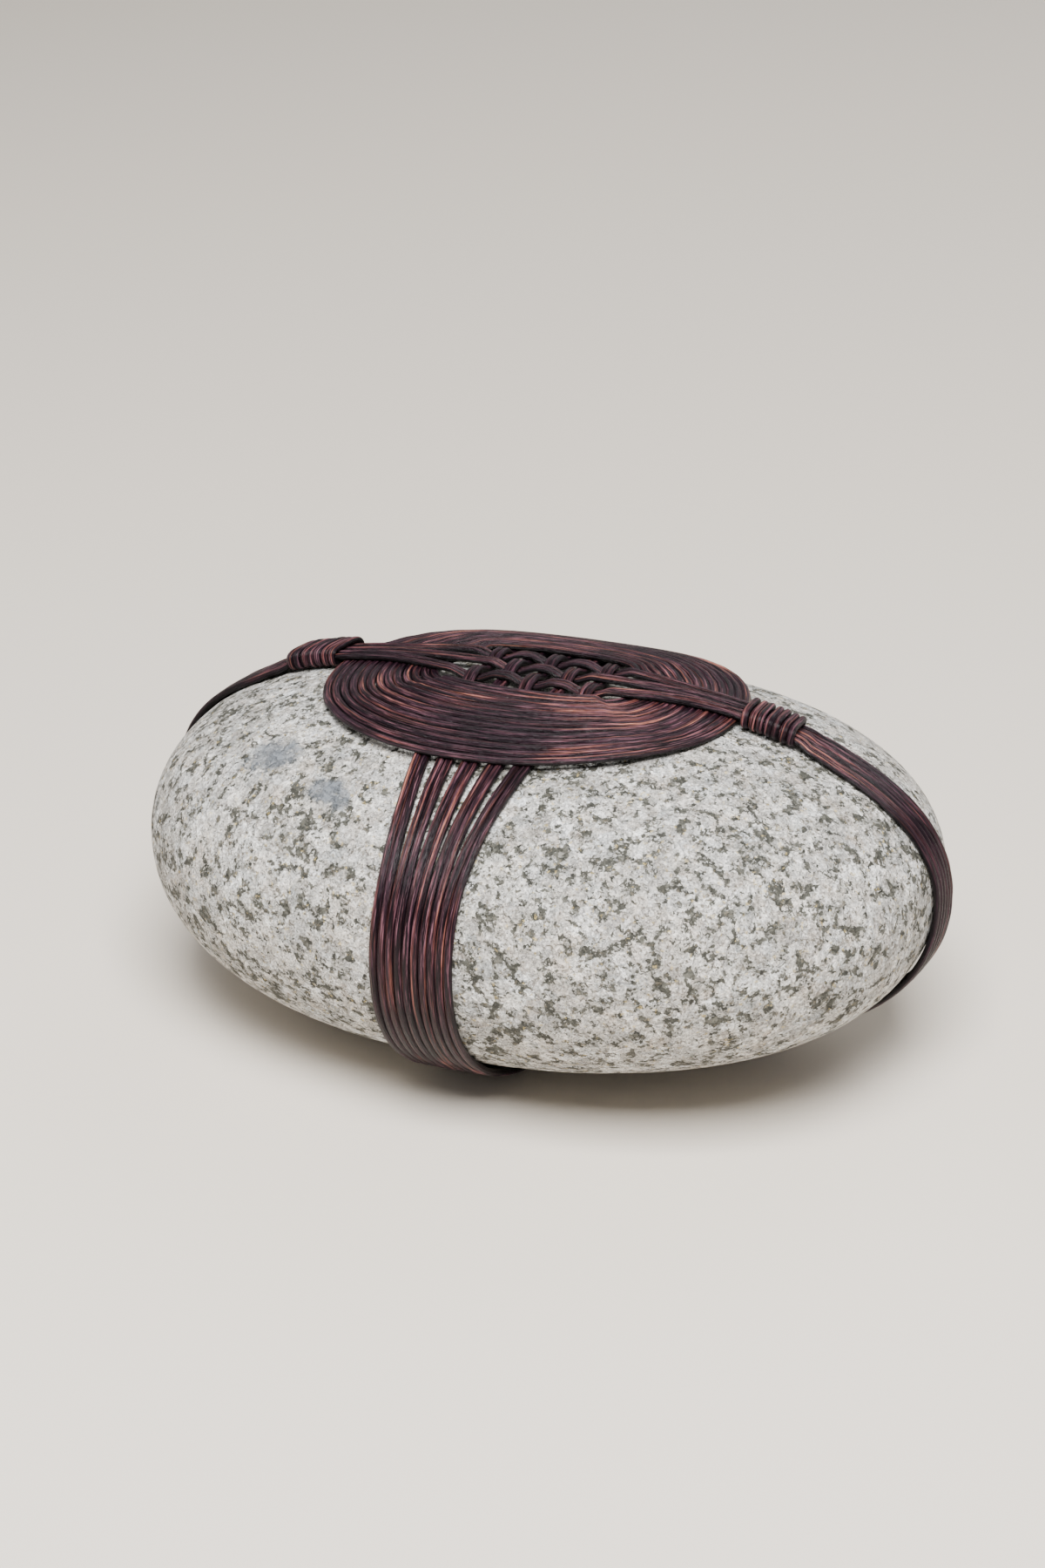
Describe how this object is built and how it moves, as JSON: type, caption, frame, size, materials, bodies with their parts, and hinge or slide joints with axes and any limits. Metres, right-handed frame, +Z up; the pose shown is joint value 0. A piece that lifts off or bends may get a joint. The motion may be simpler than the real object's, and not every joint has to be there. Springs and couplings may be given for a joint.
{
  "type": "cane-wrapped river pebble",
  "caption": "Smooth oval granite river cobble bound round its girth and length with dyed round cane, with a woven oval knot on its crown.",
  "frame": {"origin": "on the ground under the girth strands, below the middle of the bounding box", "axes": "+X along the stone towards its right end as the front is seen, +Z up, front faces -Y"},
  "size_m": [0.2144, 0.1526, 0.0986],
  "materials": {
    "granite": "matte, water-worn, speckled grey, white and dark olive",
    "cane": "satin round cane dyed dark aubergine brown"
  },
  "bodies": {
    "root": {"stone": "granite", "girth_strand_1": "cane", "girth_strand_2": "cane", "girth_strand_3": "cane", "girth_strand_4": "cane", "girth_strand_5": "cane", "girth_strand_6": "cane", "girth_strand_7": "cane", "girth_strand_8": "cane", "girth_strand_9": "cane", "girth_strand_10": "cane", "lengthwise_strand_1": "cane", "lengthwise_strand_2": "cane", "lengthwise_strand_3": "cane", "lengthwise_strand_4": "cane", "lengthwise_strand_5": "cane", "lengthwise_strand_6": "cane", "ring_strand_1": "cane", "ring_strand_2": "cane", "ring_strand_3": "cane", "ring_strand_4": "cane", "ring_strand_5": "cane", "ring_strand_6": "cane", "ring_strand_7": "cane", "ring_strand_8": "cane", "ring_strand_9": "cane", "ring_strand_10": "cane", "ring_strand_11": "cane", "ring_strand_12": "cane", "ring_strand_13": "cane", "whipping_left": "cane", "whipping_right": "cane"}
  },
  "joints": []
}
